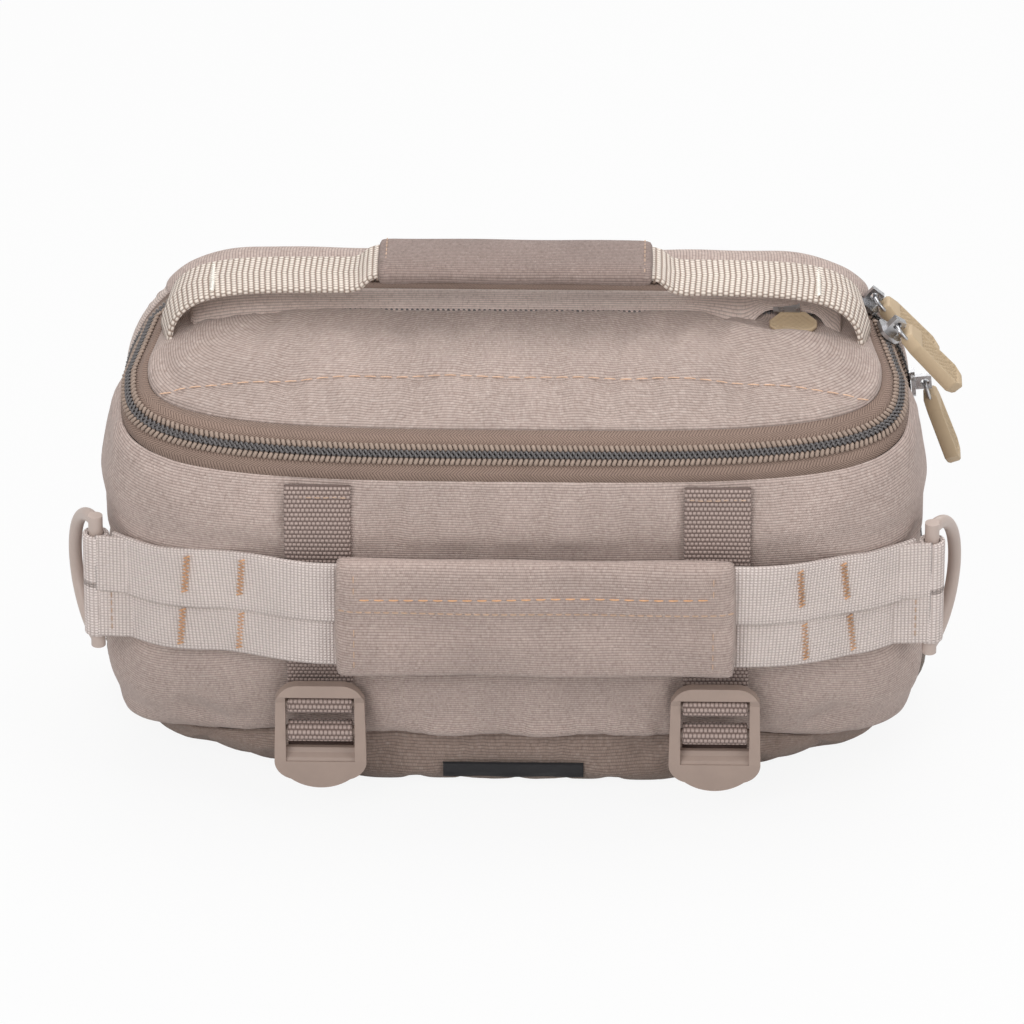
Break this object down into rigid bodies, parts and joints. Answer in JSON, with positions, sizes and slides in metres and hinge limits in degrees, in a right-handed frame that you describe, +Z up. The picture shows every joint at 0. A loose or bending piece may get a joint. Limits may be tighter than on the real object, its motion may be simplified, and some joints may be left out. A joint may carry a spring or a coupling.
{
  "type": "binocular harness pack",
  "caption": "Zipped chest pack for binoculars with a lid, a back compartment, a top handle, a padded front grip between side rings and strap adjusters below",
  "frame": {"origin": "on the flat underside, below the middle of the front compartment", "axes": "+X to the wearer-facing right of the front view, +Y from the front to the back panel, +Z up"},
  "size_m": [0.2738, 0.1156, 0.1666],
  "materials": {
    "shell_fabric": "heather-woven taupe fabric",
    "boot_fabric": "heather-woven taupe fabric, lower panel",
    "lining_fabric": "plain lining cloth",
    "mesh_fabric": "padded spacer mesh",
    "zip_tape": "brown twill zip tape",
    "zip_teeth": "dark grey nylon coil",
    "strap_webbing": "ribbed strap webbing",
    "band_webbing": "light tan coarse webbing",
    "hard_plastic": "fine matt moulded plastic",
    "zip_metal": "plated slider metal",
    "pull_rubber": "beige moulded rubber",
    "label_weave": "black woven label, bare"
  },
  "bodies": {
    "pack": {"front_shell": "shell_fabric", "bottom_panel": "boot_fabric", "divider": "lining_fabric", "rear_floor": "boot_fabric", "front_zip_tape": "zip_tape", "front_zip_coil": "zip_teeth", "strap_left": "strap_webbing", "strap_right": "strap_webbing", "adjuster_strap_left": "strap_webbing", "adjuster_strap_right": "strap_webbing", "band_upper": "band_webbing", "band_lower": "band_webbing", "grip_sleeve": "shell_fabric", "band_loop_left": "band_webbing", "band_loop_right": "band_webbing", "label": "label_weave", "rear_zip_tape": "zip_tape", "rear_zip_coil": "zip_teeth", "rear_slider_top": "zip_metal"},
    "lid": {"lid_shell": "shell_fabric", "lid_flap": "shell_fabric", "lid_zip_tape": "zip_tape", "lid_zip_coil": "zip_teeth", "pocket_coil": "zip_teeth", "handle_webbing": "band_webbing", "handle_sleeve": "shell_fabric"},
    "back": {"back_panel": "mesh_fabric", "back_gusset": "shell_fabric", "back_piping": "shell_fabric", "back_zip_tape": "zip_tape", "back_zip_coil": "zip_teeth", "rain_flap": "shell_fabric", "back_tab_left": "band_webbing", "back_tab_right": "band_webbing"},
    "ring_left": {"ring_left": "hard_plastic"},
    "ring_right": {"ring_right": "hard_plastic"},
    "back_ring_left": {"back_ring_left": "hard_plastic"},
    "back_ring_right": {"back_ring_right": "hard_plastic"},
    "buckle_left": {"buckle_left": "hard_plastic", "adjuster_loop_left": "strap_webbing"},
    "buckle_right": {"buckle_right": "hard_plastic", "adjuster_loop_right": "strap_webbing"},
    "lid_slider": {"lid_slider": "zip_metal"},
    "lid_pull": {"lid_ring": "zip_metal", "lid_pull": "pull_rubber"},
    "rear_pull_top": {"rear_ring_top": "zip_metal", "rear_pull_top": "pull_rubber"},
    "rear_slider_side": {"rear_slider_side": "zip_metal"},
    "rear_pull_side": {"rear_ring_side": "zip_metal", "rear_pull_side": "pull_rubber"},
    "pocket_runner": {"pocket_slider": "zip_metal", "pocket_pull": "pull_rubber"}
  },
  "joints": [
    {"name": "lid_hinge", "type": "hinge", "parent": "pack", "child": "lid", "pos_m": [0, 0.0208, 0.15], "axis": [-1, 0, 0], "range_deg": [0, 75]},
    {"name": "back_hinge", "type": "hinge", "parent": "pack", "child": "back", "pos_m": [0, 0.046, 0.008], "axis": [-1, 0, 0], "range_deg": [0, 80]},
    {"name": "ring_left_hinge", "type": "hinge", "parent": "pack", "child": "ring_left", "pos_m": [-0.1265, -0.025, 0.072], "axis": [0, 0, -1], "range_deg": [-100, 12]},
    {"name": "back_ring_left_hinge", "type": "hinge", "parent": "back", "child": "back_ring_left", "pos_m": [-0.07, 0.0558, 0.128], "axis": [-1, 0, 0], "range_deg": [0, 150]},
    {"name": "buckle_left_tilt", "type": "hinge", "parent": "pack", "child": "buckle_left", "pos_m": [-0.0585, -0.04146, 0.0395], "axis": [-1, 0, 0], "range_deg": [0, 20]},
    {"name": "ring_right_hinge", "type": "hinge", "parent": "pack", "child": "ring_right", "pos_m": [0.1265, -0.025, 0.072], "axis": [0, 0, 1], "range_deg": [-100, 12]},
    {"name": "back_ring_right_hinge", "type": "hinge", "parent": "back", "child": "back_ring_right", "pos_m": [0.07, 0.0558, 0.128], "axis": [-1, 0, 0], "range_deg": [0, 150]},
    {"name": "buckle_right_tilt", "type": "hinge", "parent": "pack", "child": "buckle_right", "pos_m": [0.0615, -0.04146, 0.0395], "axis": [-1, 0, 0], "range_deg": [0, 20]},
    {"name": "lid_slider_run", "type": "slide", "parent": "pack", "child": "lid_slider", "axis": [0.2362, -0.9449, -0.2268], "range_m": [0, 0.014]},
    {"name": "lid_pull_swing", "type": "hinge", "parent": "lid_slider", "child": "lid_pull", "pos_m": [0.1155, 0.0159, 0.14065], "axis": [0, -1, 0], "range_deg": [-3, 40]},
    {"name": "rear_pull_top_swing", "type": "hinge", "parent": "pack", "child": "rear_pull_top", "pos_m": [0.10913, 0.0326, 0.14131], "axis": [0, -1, 0], "range_deg": [-1, 36]},
    {"name": "rear_slider_side_run", "type": "slide", "parent": "pack", "child": "rear_slider_side", "axis": [0.0896, 0, -0.996], "range_m": [0, 0.024]},
    {"name": "rear_pull_side_swing", "type": "hinge", "parent": "rear_slider_side", "child": "rear_pull_side", "pos_m": [0.12512, 0.0326, 0.11155], "axis": [0, -1, 0], "range_deg": [-8, 50]},
    {"name": "pocket_slider_run", "type": "slide", "parent": "lid", "child": "pocket_runner", "axis": [-1, 0, 0], "range_m": [0, 0.14]}
  ]
}
